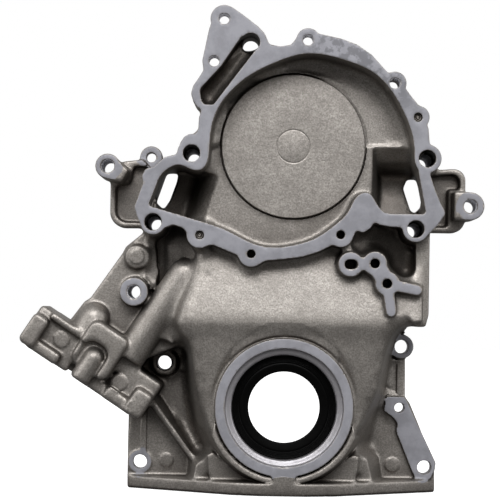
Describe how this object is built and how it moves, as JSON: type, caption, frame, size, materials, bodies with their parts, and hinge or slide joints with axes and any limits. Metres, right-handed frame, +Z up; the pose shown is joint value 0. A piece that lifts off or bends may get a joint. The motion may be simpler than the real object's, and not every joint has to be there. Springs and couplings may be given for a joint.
{
  "type": "timing cover",
  "caption": "Die-cast aluminium engine timing cover with built-in water pump volute, oil pump body, fuel pump box and a pressed-in crank seal.",
  "frame": {"origin": "the crank axis, in the plane of the block face", "axes": "+X to the right and +Z up as in the picture, with the front of the cover facing -Y and the block at +Y"},
  "size_m": [0.3802, 0.082, 0.394],
  "materials": {
    "cast_aluminium": "as cast, with machined faces",
    "seal_rubber": "moulded rubber over a steel shell",
    "lip_rubber": "moulded",
    "spring_steel": "bright"
  },
  "bodies": {
    "root": {"cover_casting": "cast_aluminium", "seal_case": "seal_rubber", "seal_lip": "lip_rubber", "garter_spring": "spring_steel"}
  },
  "joints": []
}
